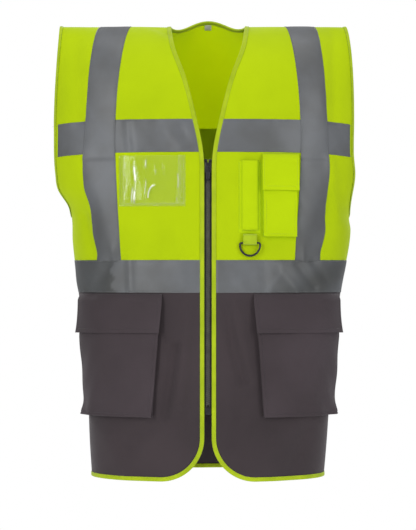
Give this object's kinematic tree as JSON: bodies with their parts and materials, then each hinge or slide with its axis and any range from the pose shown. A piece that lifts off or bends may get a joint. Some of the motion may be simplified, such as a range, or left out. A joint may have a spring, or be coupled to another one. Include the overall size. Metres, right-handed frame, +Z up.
{
  "type": "high visibility vest",
  "caption": "Sleeveless work vest with a yellow upper, charcoal lower, reflective bands, front zip, flapped cargo and phone pockets, pen pocket, clear card window and D-ring.",
  "frame": {"origin": "midway between the shoulders, at the height of the shoulder ridge", "axes": "+Z up, the front with the zip faces -Y, and +X is towards the wearer's left"},
  "size_m": [0.4802, 0.2363, 0.7209],
  "materials": {
    "hi_vis_cloth": "woven polyester, fluorescent yellow",
    "charcoal_cloth": "woven polyester twill, charcoal",
    "reflective_tape": "glass bead retroreflective tape, silver grey",
    "lime_binding": "folded bias binding, lime yellow",
    "zip_tape": "woven zip tape, black",
    "zip_plastic": "moulded, black",
    "ring_plastic": "moulded acetal, black",
    "clear_pvc": "clear soft PVC sheet, glossy",
    "black_hook_and_loop": "hook and loop tape, black",
    "yellow_hook_and_loop": "hook and loop tape, yellow",
    "label_cloth": "woven satin label, off white"
  },
  "bodies": {
    "vest": {"left_front_upper_panel": "hi_vis_cloth", "right_front_upper_panel": "hi_vis_cloth", "left_front_lower_panel": "charcoal_cloth", "right_front_lower_panel": "charcoal_cloth", "back_upper_panel": "hi_vis_cloth", "back_lower_panel": "charcoal_cloth", "left_chest_tape": "reflective_tape", "right_chest_tape": "reflective_tape", "back_chest_tape": "reflective_tape", "left_waist_tape": "reflective_tape", "right_waist_tape": "reflective_tape", "back_waist_tape": "reflective_tape", "left_brace_tape": "reflective_tape", "right_brace_tape": "reflective_tape", "left_front_binding": "lime_binding", "right_front_binding": "lime_binding", "back_hem_binding": "lime_binding", "back_neck_binding": "lime_binding", "left_armhole_binding": "lime_binding", "right_armhole_binding": "lime_binding", "left_zip_tape": "zip_tape", "right_zip_tape": "zip_tape", "left_zip_teeth": "zip_plastic", "right_zip_teeth": "zip_plastic", "left_zip_top_stop": "zip_plastic", "right_zip_top_stop": "zip_plastic", "zip_insertion_pin": "zip_plastic", "zip_retainer_box": "zip_plastic", "left_cargo_pocket": "charcoal_cloth", "right_cargo_pocket": "charcoal_cloth", "left_cargo_loop_strip": "black_hook_and_loop", "right_cargo_loop_strip": "black_hook_and_loop", "phone_pocket": "hi_vis_cloth", "phone_loop_strip": "yellow_hook_and_loop", "pen_pocket": "hi_vis_cloth", "id_window": "clear_pvc", "ring_tab": "hi_vis_cloth", "neck_label": "label_cloth"},
    "zip_slider": {"zip_slider": "zip_plastic"},
    "zip_pull": {"zip_pull": "zip_plastic"},
    "left_cargo_flap": {"left_cargo_flap": "charcoal_cloth", "left_cargo_hook_strip": "black_hook_and_loop"},
    "right_cargo_flap": {"right_cargo_flap": "charcoal_cloth", "right_cargo_hook_strip": "black_hook_and_loop"},
    "phone_flap": {"phone_flap": "hi_vis_cloth", "phone_hook_strip": "yellow_hook_and_loop"},
    "d_ring": {"d_ring": "ring_plastic"}
  },
  "joints": [
    {"name": "zip_travel", "type": "slide", "parent": "vest", "child": "zip_slider", "axis": [0, 0, -1], "range_m": [0, 0.355]},
    {"name": "pull_swing", "type": "hinge", "parent": "zip_slider", "child": "zip_pull", "pos_m": [0, -0.11585, -0.2252], "axis": [-1, 0, 0], "range_deg": [0, 170]},
    {"name": "left_cargo_flap_lift", "type": "hinge", "parent": "vest", "child": "left_cargo_flap", "pos_m": [0.1444, -0.09047, -0.41845], "axis": [-0.8755, -0.4832, 0], "range_deg": [0, 135]},
    {"name": "right_cargo_flap_lift", "type": "hinge", "parent": "vest", "child": "right_cargo_flap", "pos_m": [-0.1444, -0.09047, -0.41845], "axis": [-0.8755, 0.4832, 0], "range_deg": [0, 135]},
    {"name": "phone_flap_lift", "type": "hinge", "parent": "vest", "child": "phone_flap", "pos_m": [0.11124, -0.10699, -0.20389], "axis": [-0.9861, -0.1664, 0], "range_deg": [0, 135]},
    {"name": "ring_swing", "type": "hinge", "parent": "vest", "child": "d_ring", "pos_m": [0.064, -0.11567, -0.341], "axis": [-1, 0, 0], "range_deg": [0, 150]}
  ]
}
